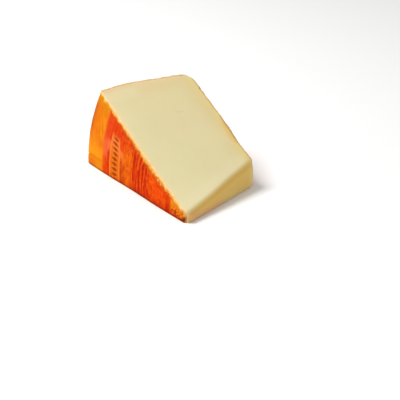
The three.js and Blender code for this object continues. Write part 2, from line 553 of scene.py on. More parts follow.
class WedgeTree(Group):
    """The Geometry Nodes tree of the wedge. Along is -X from the wheel's axis, across +Y, up +Z."""

    def __init__(self, values):
        super().__init__(
            "Wheel Wedge",
            "GeometryNodeTree",
            {"Geometry": "Geometry"} | {label: socket_kind(value) for label, value in values.items()},
            {"Geometry": "Geometry"},
        )
        self.tree.is_modifier = True
        block, block_place = self.block()
        geometry = self.rounded(self.sharp_wedge(block))
        geometry = self.centred(self.uneven(self.keep_place(geometry)))
        geometry = self.out("GeometryNodeSetShadeSmooth", {"Geometry": self.relief(geometry)})
        geometry = self.out("GeometryNodeRealizeInstances", {"Geometry": geometry})
        self.give({"Geometry": self.dressed(geometry, block_place)})

    def position(self):
        """Where the point that is being moved lies."""
        return Arrow(self, self.out("GeometryNodeInputPosition"))

    def place(self):
        """Distances along, across and up of the point that is being moved."""
        x, y, z = self.position().parts()
        return -x, y, z

    def moved(self, geometry, offset):
        """The geometry with its points moved."""
        return self.out("GeometryNodeSetPosition", {"Geometry": geometry, "Offset": offset})

    def from_axis(self, along, up):
        """The way to a point from the nearest point of the wheel's axis."""
        return self.arrow(-along, 0.0, up + self.value("Axis Below Rest"))

    def side_radius(self, across):
        """Radius of the wheel's bulging side."""
        across_share = across / self.value("Wheel Thickness")
        from_middle = across_share * 2.0 - 1.0
        near, far = self.value("Near Draw In"), self.value("Far Draw In")
        draw_in = near + (far - near) * across_share
        return self.value("Wheel Radius") - draw_in * from_middle ** 4.0

    def slant_height(self, along):
        """Height of the slanted cut above the rest."""
        return (along - self.value("Slant Start")) * self.value("Wedge Angle").math("TANGENT")

    def tip_start(self, across):
        """Where the tip's cut starts, along from the wheel's axis."""
        near, far = self.value("Tip Near"), self.value("Tip Far")
        return near + (far - near) * (across / self.value("Wheel Thickness"))

    def side_point(self, across, up_share):
        """Distances along and up of a point of the side, from the rest to the slanted cut."""
        drop = self.value("Axis Below Rest")
        wedge_angle = self.value("Wedge Angle")
        radius = self.side_radius(across)
        below_cut = drop * wedge_angle.cosine() - self.value("Slant Start") * wedge_angle.sine()
        rest_angle = (drop / radius).math("ARCSINE")
        slant_angle = wedge_angle + (below_cut / radius).math("ARCSINE")
        turn = rest_angle + (slant_angle - rest_angle) * up_share
        return radius * turn.cosine(), radius * turn.sine() - drop

    def spaced(self, block_share):
        """Sets the steps closer together at both ends."""
        eased = (1.0 - (block_share * math.pi).cosine()) * 0.5
        return block_share + (eased - block_share) * self.value("Closeness")

    def block(self):
        """A subdivided block, and the place in it of each of its faces."""
        cube = self.node("GeometryNodeMeshCube", {"Size": (1, 1, 1)})
        for axis, way in zip("XYZ", ("Along", "Across", "Up")):
            self.feed(cube.inputs[f"Vertices {axis}"], self.value(f"Steps {way}") + 1.0)
        kept = self.node("GeometryNodeCaptureAttribute", domain="FACE")
        kept.capture_items.new("VECTOR", "Block Place")
        self.feed(kept.inputs["Geometry"], cube.outputs["Mesh"])
        self.feed(kept.inputs["Block Place"], self.position())
        return kept.outputs["Geometry"], Arrow(self, kept.outputs["Block Place"])

    def sharp_wedge(self, block):
        """The block with its points carried to the sharp-edged wedge."""
        x, y, z = self.position().parts()
        toward_side = self.spaced(0.5 - x)
        across = self.spaced(y + 0.5) * self.value("Wheel Thickness")
        up_share = self.spaced(z + 0.5)
        tip_along = self.tip_start(across)
        tip_up = self.slant_height(tip_along) * up_share
        side_along, side_up = self.side_point(across, up_share)
        along = tip_along + (side_along - tip_along) * toward_side
        up = tip_up + (side_up - tip_up) * toward_side
        inputs = {"Geometry": block, "Position": self.arrow(-along, across, up)}
        return self.out("GeometryNodeSetPosition", inputs)

    def tip_outward(self):
        """The outward direction of the tip's cut."""
        skew = self.value("Tip Far") - self.value("Tip Near")
        return self.arrow(self.value("Wheel Thickness"), skew, 0.0).unit()

    def outward(self, along, up):
        """The outward direction of each side of the wedge, at a point."""
        wedge_angle = self.value("Wedge Angle")
        return {
            "rest": self.arrow(0.0, 0.0, -1.0),
            "slant": self.arrow(wedge_angle.sine(), 0.0, wedge_angle.cosine()),
            "near": self.arrow(0.0, -1.0, 0.0),
            "far": self.arrow(0.0, 1.0, 0.0),
            "tip": self.tip_outward(),
            "side": self.from_axis(along, up).unit(),
        }

    def depths(self, along, across, up):
        """How deep a point lies under each side of the wedge."""
        wedge_angle = self.value("Wedge Angle")
        slant_along = (along - self.value("Slant Start")) * wedge_angle.sine()
        from_tip = self.arrow(self.value("Tip Near") - along, across, 0.0)
        return {
            "rest": up,
            "slant": slant_along - up * wedge_angle.cosine(),
            "near": across,
            "far": self.value("Wheel Thickness") - across,
            "tip": -from_tip.dot(self.tip_outward()),
            "side": self.side_radius(across) - self.from_axis(along, up).length(),
        }

    def rounded(self, geometry):
        """Rounds the edges one after another, each to its own radius."""
        along, across, up = self.place()
        outward = self.outward(along, up)
        depths = self.depths(along, across, up)
        round_edge = round_edge_group()
        for first, second, label in EDGES:
            inputs = {
                "Geometry": geometry,
                "First Outward": outward[first],
                "First Depth": depths[first],
                "Second Outward": outward[second],
                "Second Depth": depths[second],
                "Radius": self.value(label),
            }
            geometry = self.placed(round_edge, inputs)["Geometry"]
        return geometry

    def keep_place(self, geometry):
        """Stores where each point lies in the even wheel."""
        inputs = {"Geometry": geometry, "Name": PLACE, "Value": self.arrow(*self.place())}
        return self.out(
            "GeometryNodeStoreNamedAttribute", inputs, data_type="FLOAT_VECTOR", domain="POINT"
        )

    def uneven(self, geometry):
        """Adds the slow waves of the cheese, and the hollow and spread of its far face."""
        along, across, up = self.place()
        turn = (2 * math.pi) / self.value("Wave Length").at_least(MM)
        along_share = along / self.value("Wheel Radius")
        across_share = across / self.value("Wheel Thickness")
        up_share = (up / self.slant_height(along)).at_most(1.0)
        from_hollow = self.from_axis(along, up).length() - self.value("Hollow Radius")
        hollow = self.value("Far Face Hollow") * (from_hollow / self.value("Hollow Width")).bell()
        spread = self.value("Far Face Spread") * (1.0 - up_share * up_share * up_share)
        # Each wave runs aslant, in a direction of its own
        along_wave = (turn * (across + up * 0.6)).sine()
        across_wave = (turn * (along * 0.8 - up * 0.5)).sine()
        up_wave = (turn * (along * 0.7 + across * 0.9)).sine()
        offset = self.arrow(
            -(self.value("Side Wave Height") * along_share * along_wave),
            self.value("Cut Wave Height") * across_wave + across_share * (spread - hollow),
            self.value("Cut Wave Height") * up_share * up_wave,
        )
        return self.moved(geometry, offset)

    def centred(self, geometry):
        """Moves the wedge so that the origin is in the middle of its footprint."""
        box = self.node("GeometryNodeBoundBox", {"Geometry": geometry})
        low, high = Arrow(self, box.outputs["Min"]), Arrow(self, box.outputs["Max"])
        x, y, _ = ((low + high) * -0.5).parts()
        return self.moved(geometry, self.arrow(x, y, -low.parts()[2]))

    def relief(self, geometry):
        """Adds ripples, wrinkles, crumbs and the fold, as heights over the surface."""
        stored = self.out(
            "GeometryNodeInputNamedAttribute", {"Name": PLACE}, data_type="FLOAT_VECTOR"
        )
        place = Arrow(self, stored)
        along, across, up = place.parts()
        depths = self.depths(along, across, up)
        under_rind = depths["near"].at_most(depths["side"]).at_most(depths["far"])
        height = self.ripples(place, under_rind) + self.crumbs(place, under_rind, depths)
        height = (height - self.fold(place)) * up.rise(*RELIEF_START)
        normal = Arrow(self, self.out("GeometryNodeInputNormal"))
        return self.moved(geometry, normal * height)

    def lumps(self, place, name, **kind):
        """Noise of a named length, from minus to plus its height."""
        height = self.value(f"{name} Height") * 2.0
        return self.noise(place, self.value(f"{name} Length"), **kind) * height

    def ripples(self, place, under_rind):
        """Ripples on the cuts and wrinkles on the rind."""
        along, across, up = place.parts()
        cut = under_rind.rise(*RIND_TO_PASTE)
        drawn_out = self.arrow(along * RIPPLE_ALONG, across, up)
        ripple = self.lumps(drawn_out, "Ripple", detail=3.0)
        wrinkle = self.lumps(place, "Wrinkle", detail=3.0, distortion=0.6)
        return ripple * cut + wrinkle * (1.0 - cut)

    def crumbs(self, place, under_rind, depths):
        """Crumbs along the edges of the slanted cut and of the tip's cut."""
        from_slant_edge = under_rind.at_least(depths["slant"])
        from_tip_edge = under_rind.at_least(depths["tip"])
        crumbly = from_slant_edge.at_most(from_tip_edge).fall(*CRUMBS_END)
        return self.lumps(place, "Crumb", detail=3.0, roughness=0.6) * crumbly

    def fold(self, place):
        """The fold across the printed rim, which wanders up and down."""
        along, across, up = place.parts()
        sag = self.noise(place, self.value("Fold Length")) * self.value("Fold Sag")
        from_fold = (up - self.value("Fold Height") + sag) / self.value("Fold Width")
        on_rim = self.from_axis(along, up).length().rise(*FOLD_START) * across.fall(*FOLD_END)
        return from_fold.bell() * self.value("Fold Depth") * on_rim

    def dressed(self, geometry, block_place):
        """Gives each face its material: rind on the side and far face, print on the near one."""
        x, y, _ = block_place.parts()
        rind = x.below(-BLOCK_END).at_least(y.above(BLOCK_END))
        printed = y.below(-BLOCK_END)
        for label, chosen in (("Paste", True), ("Rind", rind), ("Print", printed)):
            inputs = {
                "Geometry": geometry,
                "Selection": chosen,
                "Material": self.given(f"{label} Material"),
            }
            geometry = self.out("GeometryNodeSetMaterial", inputs)
        return geometry


# The shader groups that more than one material uses

# Waves of the rind's cloth imprint, in radians to a millimetre
CLOTH_WAVE = 7.2


class Coat:
    """A colour that is built up in layers."""

    def __init__(self, maker, tint):
        self.maker = maker
        self.tint = tint

    def lay(self, mask, tint, strength=1.0):
        """Lays a tint where the mask is 1, as strongly as the strength says."""
        self.tint = self.maker.mix(mask * strength, self.tint, tint)

    def brighten(self, factor):
        """Multiplies the colour's brightness by a value near 1."""
        self.tint = self.maker.out("ShaderNodeHueSaturation", {"Color": self.tint, "Value": factor})

    def pass_through(self, group, inputs):
        """Changes the colour by a node group."""
        self.tint = self.maker.placed(group, {"Color": self.tint} | inputs)["Color"]


def wheel_place_group(sizes):
    """Where a point lies in the wheel: its distances, and its depths under the wheel and cuts."""
    labels = ("Along", "Across", "Up", "Under Rind", "Under Cuts", "Before Tip")
    group = Group("Wheel Place", "ShaderNodeTree", {}, dict.fromkeys(labels, "Float"))
    stored = group.node("ShaderNodeAttribute", attribute_name=PLACE).outputs["Vector"]
    along, across, up = (Arrow(group, stored) * (1 / MM)).parts()
    thickness = sizes.wheel_thickness / MM
    from_axis = group.arrow(along, 0.0, up + sizes.axis_below_rest / MM).length()
    from_middle = across * (2 / thickness) - 1.0
    draw_in_slope = (sizes.far_draw_in - sizes.near_draw_in) / sizes.wheel_thickness
    draw_in = across * draw_in_slope + sizes.near_draw_in / MM
    under_side = sizes.wheel_radius / MM - draw_in * from_middle ** 4.0 - from_axis
    slant_along = (along - sizes.slant_start / MM) * math.sin(sizes.wedge_angle)
    under_slant = slant_along - up * math.cos(sizes.wedge_angle)
    tip_slope = (sizes.tip_far - sizes.tip_near) / sizes.wheel_thickness
    before_tip = along - across * tip_slope - sizes.tip_near / MM
    # What the knife leaves along an edge is narrow at the rest and wide at the tip
    from_rest = up * 4.0 + 0.6
    from_tip = before_tip + across * 0.03 - 2.4
    return group.give(
        {
            "Along": along,
            "Across": across,
            "Up": up,
            "Under Rind": under_side.at_most(thickness - across),
            "Under Cuts": under_slant.at_most(from_rest).at_most(from_tip),
            "Before Tip": before_tip,
        }
    )


def rind_colour_group(look):
    """Mottled orange of the bare rind, its brown smudges and the height of its cloth imprint."""
    group = Group(
        "Rind Colour",
        "ShaderNodeTree",
        {"Place": "Vector"},
        {"Color": "Color", "Roughness": "Float", "Height": "Float"},
    )
    place = group.vector("Place")
    along, across, up = place.parts()
    drawn_out = group.arrow(along, across, up * 0.28)
    broad = group.noise(place, 13.0)
    streak = group.noise(drawn_out, 2.6, detail=4.0, roughness=0.6, distortion=0.3)
    fine = group.noise(place, 0.7)
    blotch = group.noise(place, 8.0, detail=4.0, roughness=0.65)
    coat = Coat(group, look.rind_light)
    coat.lay((broad + streak * 1.3 + fine * 0.5).rise(-0.34, 0.36), look.rind_deep)
    coat.lay((broad * 22.0 + streak * 14.0 + up).rise(28.0, 44.0), look.rind_old, 0.7)
    coat.lay(blotch.rise(0.17, 0.30), look.rind_smudge, 0.5)
    on_side = (along * CLOTH_WAVE).sine() * (up * CLOTH_WAVE).sine()
    weave = on_side + (across * CLOTH_WAVE).sine() * 0.5
    return group.give(
        {
            "Color": coat.tint,
            "Roughness": fine * 0.25 + streak * 0.12 + 0.42,
            "Height": weave * 0.015 + fine * 0.06 + streak * 0.12,
        }
    )


def rim_colour_group(look, sizes):
    """Rind round the printed rim: golden above the fold, pressed below it, painted shade in brown at
    the rim.
    """
    group = Group(
        "Rim Colour",
        "ShaderNodeTree",
        {"Color": "Color", "Place": "Vector", "From Rim": "Float"},
        {"Color": "Color"},
    )
    place = group.vector("Place")
    along, across, up = place.parts()
    hand = group.noise(place, 5.0, detail=3.0, roughness=0.6)
    cloud = group.noise(place, 8.0)
    grain = group.noise(group.arrow(along, across, up * 0.2), 1.7, detail=3.0, roughness=0.6)
    coat = Coat(group, group.given("Color"))
    coat.lay(grain.rise(0.0, 0.12), look.rind_deep, up.rise(9.0, 20.0) * 0.4 + 0.3)
    sag = group.noise(place, sizes.fold_length / MM) * (sizes.fold_sag / MM)
    lay_fold(coat, look, up - sizes.fold_height / MM + sag, cloud)
    pressed = (up + hand * 2.0).fall(3.0, 7.0) * along.rise(92.0, 99.0)
    coat.lay(pressed, look.rind_deep, 0.7)
    lay_brown_rim(coat, look, group.value("From Rim"), place, hand, cloud)
    return group.give({"Color": coat.tint})


def lay_fold(coat, look, above_fold, cloud):
    """Golden above the fold, ochre below it, and brown in it as painted shade in its crease."""
    golden = above_fold.rise(0.3, 2.0) * (above_fold + cloud * 6.0).fall(4.0, 10.0)
    coat.lay(golden, look.rind_gold, 0.55)
    coat.lay(above_fold.fall(-0.8, 0.4), look.rind_old, 0.45)
    # Painted shade in the fold's crease
    coat.lay(abs(above_fold).fall(0.1, 1.3), look.rind_torn, 0.2)


def lay_brown_rim(coat, look, from_rim, place, hand, cloud):
    """Deep orange round the upper part of the rim, and red brown specks on it: painted shade along the
    rim.
    """
    along, across, up = place.parts()
    high = (up + cloud * 12.0).rise(13.0, 27.0) * up.fall(36.0, 41.0)
    wider_above = up.rise(14.0, 31.0) * 3.0
    # Painted shade along the upper rim, deep orange and then red brown nearest the rim
    coat.lay((from_rim + hand * 2.5 - wider_above).fall(1.5, 7.0) * high, look.rind_deep, 0.6)
    upright = coat.maker.arrow(along, across, up * 0.4)
    rim_shade_specks = coat.maker.noise(upright, 1.6, detail=3.0, roughness=0.7)
    coat.lay((from_rim + hand * 1.5).fall(0.8, 4.8) * high, look.rind_brown, rim_shade_specks * 1.8 + 0.86)


def knife_edge_group(look):
    """Turns a colour brown, then yellow and pale, along the edges that the knife has cut."""
    group = Group(
        "Knife Edge",
        "ShaderNodeTree",
        {"Color": "Color", "Place": "Vector", "Under Cuts": "Float"},
        {"Color": "Color"},
    )
    place = group.vector("Place")
    along, _, up = place.parts()
    on_rim = along.rise(78.0, 83.0)
    ragged = group.noise(place, 2.4, detail=4.0, roughness=0.6) * 4.0
    chips = (group.noise(place, 4.2, detail=3.0, roughness=0.6) - 0.02).at_least(0.0) * 11.0
    reach = along.fall(50.0, 76.0) * 0.3 + 1.05
    depth = group.value("Under Cuts") - (ragged + chips) * reach

    coat = Coat(group, group.given("Color"))
    broken = along.band((26.0, 34.0), (46.0, 52.0))
    brown = group.mix(on_rim, look.rind_torn, look.rind_olive)
    coat.lay((depth - broken).fall(1.7, 3.7), brown, 0.7)
    peeled = along.band((35.0, 42.0), (46.0, 52.0))
    yellow = group.mix(on_rim * 0.6, look.rind_edge, look.rind_gold)
    coat.lay((depth - peeled * 0.6 + on_rim * 0.6).fall(0.7, 2.4), yellow)
    pale = group.mix(along.rise(85.5, 88.5) * 0.8, look.paste_edge, look.rind_yellow)
    coat.lay(depth.fall(-0.5, 0.6), pale)
    coat.lay(depth.fall(-1.7, -0.7) * up.rise(2.5, 5.0), look.paste_pale)
    return group.give({"Color": coat.tint})


class SharedGroups:
    """The shader groups that more than one material uses."""

    def __init__(self, look, sizes):
        self.wheel_place = wheel_place_group(sizes)
        self.rind_colour = rind_colour_group(look)
        self.rim_colour = rim_colour_group(look, sizes)
        self.knife_edge = knife_edge_group(look)


# The materials

# The knife's nick on the slanted cut: where along and across its middle lies, its length and
# half width in millimetres, and how far it leans from straight across
NICK_PLACE = (68.7, 36.0)
NICK_LENGTH = 7.4
NICK_HALF_WIDTH = 0.45
NICK_LEAN = math.radians(11.5)

# Tiny openings of the paste: distance between two places where one may be, in millimetres, and
# the chance above which one is there
OPENING_GAP = 7.5
OPENING_CHANCE = 0.74


def new_material(name):
    """A material with its maker and its Principled BSDF."""
    material = bpy.data.materials.new(name)
    material.use_nodes = True
    maker = Maker(material.node_tree)
    shader = material.node_tree.nodes["Principled BSDF"]
    return material, maker, shader


def bump(maker, height):
    """A normal that follows a height in millimetres."""
    return maker.out("ShaderNodeBump", {"Height": height, "Distance": MM, "Strength": 1.0})


def finish_rind(maker, shader, tint, rind, height):
    """Gives a shader the rind's look: it hardly shines, and what it reflects is warm."""
    maker.feed(shader.inputs["Base Color"], tint)
    maker.feed(shader.inputs["Roughness"], rind["Roughness"])
    maker.feed(shader.inputs["Normal"], bump(maker, height))
    shader.inputs["Specular IOR Level"].default_value = 0.012
    shader.inputs["Specular Tint"].default_value = (1.0, 0.45, 0.15, 1.0)


class Whereabouts:
    """Where a point of one material lies in the wheel, in millimetres."""

    def __init__(self, maker, wheel_place):
        outputs = maker.placed(wheel_place, {})
        self.along = Field(maker, outputs["Along"])
        self.across = Field(maker, outputs["Across"])
        self.up = Field(maker, outputs["Up"])
        self.under_rind = Field(maker, outputs["Under Rind"])
        self.under_cuts = Field(maker, outputs["Under Cuts"])
        self.before_tip = Field(maker, outputs["Before Tip"])
        self.place = maker.arrow(self.along, self.across, self.up)


class CutPaste:
    """Cut paste: pale and smooth, riper towards the rind, with a thin line of rind at its edges."""

    def __init__(self, look, sizes, groups):
        self.look = look
        self.material, self.maker, self.shader = new_material("cheese paste")
        maker = self.maker
        self.where = where = Whereabouts(maker, groups.wheel_place)
        drawn_out = maker.arrow(where.along * 0.06, where.across, where.up * 0.06)
        self.broad = maker.noise(where.place, 22.0)
        self.lumps = maker.noise(where.place, 9.0, detail=3.0, roughness=0.6)
        self.small = maker.noise(where.place, 2.4, detail=3.0)
        self.ragged = maker.noise(where.place, 2.2, detail=3.0, roughness=0.65)
        self.drag = maker.noise(drawn_out, 0.9)
        self.on_tip = where.before_tip.fall(0.2, 2.8)
        self.under_far = sizes.wheel_thickness / MM - where.across
        self.coat = Coat(maker, look.paste_core)

    def ripen(self):
        """Riper paste towards the rind, the side and the far face."""
        where = self.where
        near_rind = (where.under_rind + self.broad * 14.0).fall(0.0, 16.0) * 0.72
        farther = where.along.rise(20.0, 105.0) * 0.3 + where.across.rise(10.0, 60.0) * 0.25
        self.coat.lay(near_rind + farther, self.look.paste_ripe)

    def light_and_shade_tip(self):
        """Painted highlight at the crease and near corner, and painted shade and warm bounce on the
        tip's cut, darker low down.
        """
        where, look, coat = self.where, self.look, self.coat
        # Painted highlight just before the crease
        coat.lay(where.before_tip.band((1.5, 4.0), (4.0, 11.0)), look.paste_pale, 0.45)
        # Painted shade and warm bounce light over the whole tip's cut
        coat.lay(self.on_tip, look.paste_dry)
        # Painted warm bounce light and shade, darker low on the tip's cut
        low = self.on_tip * (where.up + self.broad * 5.0).fall(2.0, 6.5)
        farther = (where.across + self.broad * 8.0).rise(22.0, 36.0)
        coat.lay(low, self.maker.mix(farther, look.paste_skin, look.paste_grey), 0.85)
        # Painted highlight on the rounded near upright edge of the tip's cut
        corner = where.across.fall(0.8, 4.2) * where.before_tip.rise(0.1, 1.4)
        coat.lay(corner * where.up.rise(3.0, 8.0), look.paste_pale, 0.35)

    def shade(self):
        """Slow and fine changes of brightness. The paste is brightest near the tip."""
        where = self.where
        # Brighter near the tip, a little darker farther out
        brighter_near_tip = (where.along + where.across * 0.5).fall(12.0, 50.0) * where.before_tip.rise(0.5, 4.0)
        darker_farther_out = where.along.rise(42.0, 66.0) * where.across.rise(6.0, 14.0)
        fine = self.small * 0.02 + self.drag * 0.012
        self.coat.brighten(fine + self.broad * 0.05 + brighter_near_tip * 0.08 - darker_farther_out * 0.02 + 1.0)

    def nick(self):
        """A faint nick that the knife has left on the slanted cut. Gives its depth, from 0 to 1."""
        along, across = self.where.along - NICK_PLACE[0], self.where.across - NICK_PLACE[1]
        beside = along * math.cos(NICK_LEAN) + across * math.sin(NICK_LEAN)
        lengthwise = across * math.cos(NICK_LEAN) - along * math.sin(NICK_LEAN)
        inside = abs(lengthwise).fall(NICK_LENGTH / 4, NICK_LENGTH / 2)
        above_rest = self.where.up.rise(8.0, 12.0)
        depth = (beside * (1 / NICK_HALF_WIDTH)).bell() * inside * above_rest
        self.coat.brighten(1.0 - depth * 0.05)
        return depth

    def openings(self):
        """Tiny openings, scattered over the paste. Gives their depth, from 0 to 1."""
        inputs = {"Vector": self.where.place, "Scale": 1 / OPENING_GAP, "Randomness": 1.0}
        cells = self.maker.node("ShaderNodeTexVoronoi", inputs)
        chance = Arrow(self.maker, cells.outputs["Color"]).parts()[0]
        size = chance.rise(0.72, 1.0) * 0.055
        opened = (Field(self.maker, cells.outputs["Distance"]) - size).fall(-0.02, 0.012)
        depth = opened * chance.above(OPENING_CHANCE)
        self.coat.lay(depth, self.look.paste_pit, 0.6)
        return depth

    def near_edge(self):
        """Light from the bright print shows through beside it."""
        across, ragged = self.where.across, self.ragged
        thin = (across + ragged * 2.4).fall(-0.3, 1.6) * 0.6
        thick = (across + ragged * 2.0).fall(0.0, 4.2) * 0.14
        self.coat.lay(thin + thick, self.look.paste_edge)
        self.coat.lay((across + ragged * 3.6).fall(-0.5, 0.7), self.look.rind_edge, 0.75)

    def side_edge(self):
        """Paste under the side: pinker in its far part, and pale deeper in its near part."""
        where, look, coat = self.where, self.look, self.coat
        under_side = (where.under_rind + self.lumps * 5.0).fall(2.0, 6.5)
        coat.lay(self.under_far.rise(6.0, 12.0) * under_side, look.paste_side, 0.85)
        deeper = where.under_rind.band((2.5, 5.0), (8.0, 13.0))
        coat.lay(where.across.fall(16.0, 26.0) * deeper, look.paste_pale, 0.4)

    def far_edge(self):
        """Yellower paste along the far edge, darkened there as painted shade of its rounding, and the
        rind's ochre line, thickest half way along.
        """
        where, look, coat = self.where, self.look, self.coat
        warm = where.along.band((26.0, 38.0), (54.0, 64.0))
        # Painted shade of the rounded far edge, laid with yellower paste
        beside_far = (self.under_far + self.lumps * 9.0).fall(1.0, 8.0)
        coat.lay(beside_far, look.paste_rim, warm * 0.35 + 0.6)
        thick = where.along.band((40.0, 47.0), (54.0, 64.0))
        width = thick * 3.2 + self.lumps.at_least(0.0) * 4.0
        coat.lay((where.under_rind + self.ragged * 2.6 - width).fall(0.0, 1.8), look.rind_edge, 0.32)
        line = (where.under_rind + self.ragged * 1.8 - thick * 0.9).fall(0.3, 1.6)
        coat.lay(line, look.rind_line, 0.8)

    def specks(self):
        """Brown specks where the slanted cut meets the far part of the side."""
        where = self.where
        specks = self.maker.noise(where.place, 1.7).rise(0.05, 0.13)
        far_part = where.across.rise(22.0, 32.0) * where.along.rise(70.0, 80.0)
        self.coat.lay(specks * far_part * where.under_rind.fall(0.7, 2.0), self.look.rind_smudge, 0.5)

    def finished(self):
        """Lays every layer and gives the material."""
        self.ripen()
        self.light_and_shade_tip()
        self.shade()
        nick = self.nick()
        opening = self.openings()
        self.near_edge()
        crust = (self.under_far + self.ragged * 2.0).fall(0.6, 4.2) * self.on_tip
        self.coat.lay(crust, self.look.paste_crust, 0.7)
        self.side_edge()
        self.far_edge()
        self.specks()
        height = self.small * 0.03 + self.drag * 0.01 - opening * 0.2 - nick * 0.08
        maker, inputs = self.maker, self.shader.inputs
        maker.feed(inputs["Base Color"], self.coat.tint)
        maker.feed(inputs["Roughness"], self.small * 0.14 + self.drag * 0.08 + 0.52)
        maker.feed(inputs["Normal"], bump(maker, height))
        inputs["Subsurface Weight"].default_value = 0.45
        inputs["Subsurface Radius"].default_value = (1.0, 0.62, 0.28)
        inputs["Subsurface Scale"].default_value = 3.2 * MM
        inputs["Specular IOR Level"].default_value = 0.3
        return self.material


def rind_material(look, groups):
    """The bare rind of the wheel's side and far face, with the printed rim's colour beside it."""
    material, maker, shader = new_material("orange rind")
    where = Whereabouts(maker, groups.wheel_place)
    rind = maker.placed(groups.rind_colour, {"Place": where.place})
    coat = Coat(maker, rind["Color"])
    coat.pass_through(groups.rim_colour, {"Place": where.place, "From Rim": where.across * 1.7})
    ragged = maker.noise(where.place, 6.0, detail=3.0, roughness=0.6) * 10.0
    coat.lay((where.across + ragged).rise(3.0, 15.0), rind["Color"])
    coat.pass_through(groups.knife_edge, {"Place": where.place, "Under Cuts": where.under_cuts})
    finish_rind(maker, shader, coat.tint, rind, rind["Height"])
    return material


def set_ramp(ramp, reach, stops):
    """Sets a colour ramp to stops of a distance and a colour. The ramp's end is at the reach."""
    for element, (distance, tint) in zip(ramp.elements, stops):
        element.position = distance / reach
        element.color = (*tint, 1.0)
    for distance, tint in stops[len(ramp.elements):]:
        ramp.elements.new(distance / reach).color = (*tint, 1.0)


class PrintedFace:
    """The printed flat face: a round print of rings and brush streaks on the orange rind."""

    def __init__(self, look, sizes, groups):
        self.look = look
        self.sizes = sizes
        self.groups = groups
        self.material, self.maker, self.shader = new_material("printed rind")
        maker = self.maker
        self.where = where = Whereabouts(maker, groups.wheel_place)
        right = where.along - sizes.middle_along / MM
        self.above = where.up - sizes.middle_up / MM
        self.ring = maker.arrow(right, self.above, 0.0).length()
        self.turn = self.above.math("ARCTAN2", right)
        self.hand = maker.noise(where.place, 5.0, detail=3.0, roughness=0.6)
        self.cloud = maker.noise(where.place, 8.0)
        self.drops = maker.noise(where.place, 2.2, detail=3.0, roughness=0.6)
        self.streak = self.brush(9.0, 1.9, detail=4.0, roughness=0.6, distortion=0.35)
        self.hair = self.brush(14.0, 0.8, detail=3.0, roughness=0.6)
        self.wobble = self.ring + self.hand * 2.6
        self.upper = (self.above + self.hand * 9.0).rise(12.0, 18.0) * self.ring.rise(50.0, 58.0)
        self.coat = Coat(maker, self.fields())

    def brush(self, turns, size, **kind):
        """Noise drawn out round the print, like the marks of a brush."""
        return self.maker.noise(self.maker.arrow(self.ring, self.turn * turns, 0.0), size, **kind)

    def fields(self):
        """Fields of red and orange, one inside the other."""
        look = self.look
        reach = self.sizes.outline / MM
        ramp = self.maker.node("ShaderNodeValToRGB", {"Fac": self.wobble / reach})
        stops = (
            (19.7, look.print_gold),
            (21.7, look.print_red),
            (26.0, look.print_red),
            (29.8, look.print_bright),
            (37.8, look.print_bright),
            (42.0, look.print_red),
            (55.9, look.print_red),
            (58.4, look.print_orange),
            (67.9, look.print_orange),
            (69.3, look.print_red),
        )
        set_ramp(ramp.color_ramp, reach, stops)
        return ramp.outputs["Color"]

    def quieten(self):
        """Plain red above, and brown beside the lower part of the panel."""
        self.coat.lay(self.upper, self.look.print_red, 0.9)
        beside_panel = self.ring.band((61.5, 65.0), (67.0, 68.6))
        low = (self.above + self.cloud * 10.0).fall(6.0, 12.0)
        self.coat.lay(beside_panel * low, self.look.print_brown, 0.85)

    def streaks(self):
        """Brush streaks that run round the print, closest together half way out."""
        look, maker = self.look, self.maker
        comb_turn = 2 * math.pi / (self.sizes.streak_gap / MM)
        comb = self.streak + ((self.ring + self.hand * 4.0) * comb_turn).sine() * 0.10
        half_way = self.wobble.band((38.0, 46.0), (56.0, 61.0))
        outside = self.wobble.rise(56.0, 59.0) * (1.0 - self.upper)
        light = maker.mix(outside, look.print_orange, look.print_gold)
        self.coat.lay((comb - self.hair * 0.6).fall(-0.17, -0.02), light, half_way * 0.45 + 0.28)
        dark = maker.mix(outside, look.print_deep, look.print_brown)
        self.coat.lay((comb + self.hair * 0.6).rise(-0.05, 0.12), dark, half_way * 0.72 + 0.14)

    def smears(self):
        """A crimson smear along one ring, and crimson blots."""
        on_ring = abs(self.ring - 55.0 + self.hand * 3.0).fall(0.4, 2.4)
        low = self.above.band((2.0, 5.0), (9.0, 13.0))
        self.coat.lay(on_ring * low, self.look.print_deep, 0.45)
        blots = self.maker.noise(self.where.place, 3.0, detail=4.0, roughness=0.7)
        self.coat.lay(blots.rise(0.04, 0.16), self.look.print_deep, 0.4)

    def spots(self):
        """Small light and dark spots, clear of the streaks and of the worn middle."""
        spots = self.maker.noise(self.where.place, 3.4, detail=3.0, roughness=0.6)
        inside = self.ring.band((22.0, 25.0), (40.0, 46.0))
        outside = self.ring.band((56.0, 60.0), (68.0, 69.0)) * 0.8
        spotted = inside + outside
        more_above = self.above.rise(0.0, 8.0) * 0.5 + 0.5
        self.coat.lay(spots.rise(0.02, 0.12) * more_above, self.look.print_gold, spotted * 0.45)
        self.coat.lay(spots.fall(-0.13, -0.01), self.look.print_deep, spotted * 0.42)

    def worn_middle(self):
        """The middle is worn to gold above, and smudged to dark crimson below, darkest at the rest as
        painted contact shadow.
        """
        look, coat, drops = self.look, self.coat, self.drops
        outline = self.sizes.worn_middle / MM
        wobble = self.ring + self.hand * 3.0
        worn = wobble.fall(outline - 0.8, outline + 0.8)
        up = self.where.up + self.hand * 3.0
        coat.lay(worn, look.print_orange)
        coat.lay(worn * (up - drops * 8.0).rise(2.6, 6.0), look.print_gold, 0.9)
        coat.lay(worn * drops.fall(-0.20, -0.06), look.rind_edge, 0.7)
        self.grime(worn, up)
        at_outline = abs(wobble - outline - 2.0).fall(0.6, 2.6)
        coat.lay(at_outline * (self.where.up + drops * 8.0).fall(2.0, 7.0), look.print_deep, 0.6)
        inner = (self.ring + self.hand * 4.0).fall(9.0, 17.0) * 0.75 + 0.2
        # Painted contact shadow along the rest
        coat.lay(worn * (up + drops * 5.0).fall(0.6, 3.4), look.print_dark, inner)

